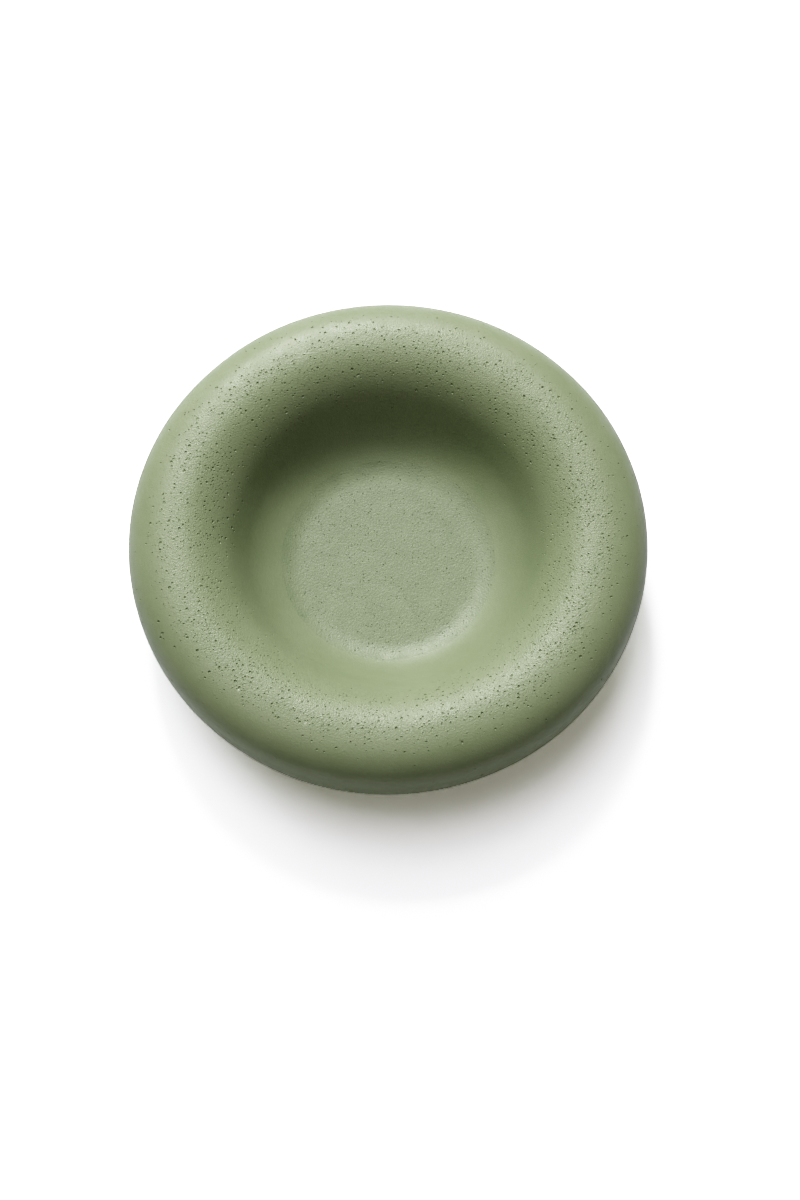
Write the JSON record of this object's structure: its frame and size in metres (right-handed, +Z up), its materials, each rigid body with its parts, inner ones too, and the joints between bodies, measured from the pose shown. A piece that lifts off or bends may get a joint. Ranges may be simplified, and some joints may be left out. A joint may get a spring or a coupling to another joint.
{
  "type": "shaving soap puck in a dish",
  "caption": "Round shaving soap dish with a fat rolled rim and a bowl-shaped well, a hard soap puck bedded flush in the well floor, and rubber bumpers under the base.",
  "frame": {"origin": "centre of the bottom, on the surface that the bumpers stand on", "axes": "+Z up along the dish's axis of symmetry; +X to the right and -Y towards a person who looks into the well"},
  "size_m": [0.13, 0.13, 0.0317],
  "materials": {
    "dish": "satin",
    "soap": "matte",
    "bumper": "matte"
  },
  "bodies": {
    "dish": {"dish_body": "dish", "foot_pad_1": "bumper", "foot_pad_2": "bumper", "foot_pad_3": "bumper", "foot_pad_4": "bumper"},
    "puck": {"soap_puck": "soap"}
  },
  "joints": [
    {"name": "puck_lift", "type": "slide", "parent": "dish", "child": "puck", "axis": [0, 0, 1], "range_m": [0, 0.04]}
  ]
}
